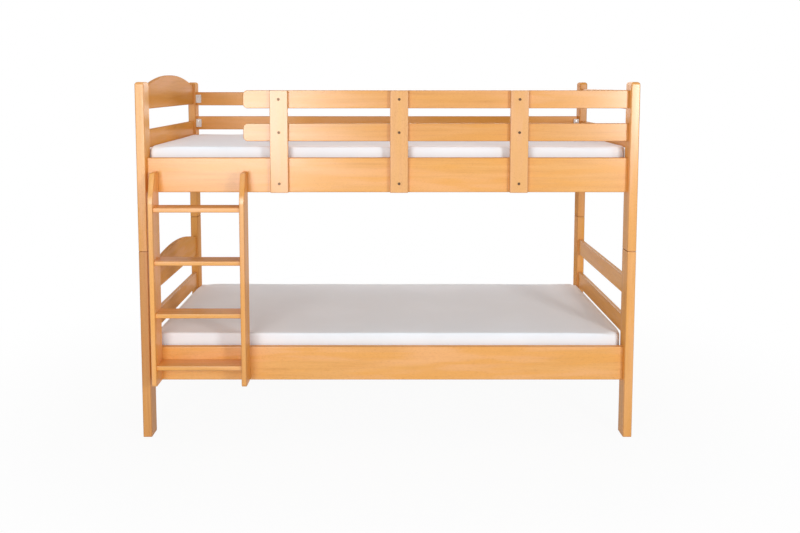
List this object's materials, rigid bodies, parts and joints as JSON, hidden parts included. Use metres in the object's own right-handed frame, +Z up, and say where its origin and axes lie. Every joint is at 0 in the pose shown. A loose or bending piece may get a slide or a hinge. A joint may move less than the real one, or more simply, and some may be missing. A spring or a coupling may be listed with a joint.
{
  "type": "bunk bed",
  "caption": "Beech bunk bed of stacked single beds with mattresses, a guard rail round the upper bed, and a fixed ladder at the head end.",
  "frame": {"origin": "on the floor, under the centre of the bounding box of the bed with its ladder", "axes": "+X along the bed from the head to the foot, +Y from the ladder side to the back, +Z up"},
  "size_m": [2.08, 1.0824, 1.538],
  "materials": {
    "lacquered_beech": "satin clear lacquer on beech",
    "raw_beech": "planed beech",
    "slat_wood": "planed softwood",
    "mattress_cover": "white woven cotton cover",
    "webbing": "white woven tape",
    "zinc_steel": "zinc plated",
    "bronzed_steel": "bronzed, satin",
    "white_plastic": "moulded white plastic"
  },
  "bodies": {
    "lower_frame": {"lower_post_front_left": "lacquered_beech", "lower_post_front_right": "lacquered_beech", "lower_post_back_left": "lacquered_beech", "lower_post_back_right": "lacquered_beech", "lower_head_cross_rail": "lacquered_beech", "lower_head_slat": "lacquered_beech", "lower_head_arch_board": "lacquered_beech", "lower_foot_cross_rail": "lacquered_beech", "lower_foot_lower_slat": "lacquered_beech", "lower_foot_upper_slat": "lacquered_beech", "lower_front_rail": "lacquered_beech", "lower_back_rail": "lacquered_beech", "lower_front_ledge": "raw_beech", "lower_back_ledge": "raw_beech", "lower_bed_bolts": "zinc_steel", "lower_barrel_nuts": "zinc_steel", "stacking_pins": "zinc_steel"},
    "lower_base": {"lower_base_slats": "slat_wood", "lower_base_tapes": "webbing"},
    "lower_mattress": {"lower_mattress": "mattress_cover"},
    "upper_frame": {"upper_post_front_left": "lacquered_beech", "upper_post_front_right": "lacquered_beech", "upper_post_back_left": "lacquered_beech", "upper_post_back_right": "lacquered_beech", "upper_head_cross_rail": "lacquered_beech", "upper_head_slat": "lacquered_beech", "upper_head_arch_board": "lacquered_beech", "upper_foot_cross_rail": "lacquered_beech", "upper_foot_lower_slat": "lacquered_beech", "upper_foot_upper_slat": "lacquered_beech", "upper_front_rail": "lacquered_beech", "upper_back_rail": "lacquered_beech", "upper_front_ledge": "raw_beech", "upper_back_ledge": "raw_beech", "upper_bed_bolts": "zinc_steel", "upper_barrel_nuts": "zinc_steel", "guard_bottom_board": "lacquered_beech", "guard_top_board": "lacquered_beech", "guard_upright_left": "lacquered_beech", "guard_upright_middle": "lacquered_beech", "guard_upright_right": "lacquered_beech", "guard_screws": "bronzed_steel", "back_guard_bottom_board": "lacquered_beech", "back_guard_top_board": "lacquered_beech", "corner_blocks": "white_plastic", "corner_block_screws": "zinc_steel", "ladder_stile_left": "lacquered_beech", "ladder_stile_right": "lacquered_beech", "ladder_tread_1": "lacquered_beech", "ladder_tread_2": "lacquered_beech", "ladder_tread_3": "lacquered_beech", "ladder_tread_4": "lacquered_beech", "ladder_screws": "bronzed_steel", "ladder_dowels": "raw_beech"},
    "upper_base": {"upper_base_slats": "slat_wood", "upper_base_tapes": "webbing"},
    "upper_mattress": {"upper_mattress": "mattress_cover"}
  },
  "joints": [
    {"name": "upper_bed_lift", "type": "slide", "parent": "lower_frame", "child": "upper_frame", "axis": [0, 0, 1], "range_m": [0, 0.12]},
    {"name": "lower_base_lift", "type": "slide", "parent": "lower_frame", "child": "lower_base", "axis": [0, 0, 1], "range_m": [0, 0.12]},
    {"name": "lower_mattress_lift", "type": "slide", "parent": "lower_base", "child": "lower_mattress", "axis": [0, 0, 1], "range_m": [0, 0.15]},
    {"name": "upper_base_lift", "type": "slide", "parent": "upper_frame", "child": "upper_base", "axis": [0, 0, 1], "range_m": [0, 0.12]},
    {"name": "upper_mattress_lift", "type": "slide", "parent": "upper_base", "child": "upper_mattress", "axis": [0, 0, 1], "range_m": [0, 0.42]}
  ]
}
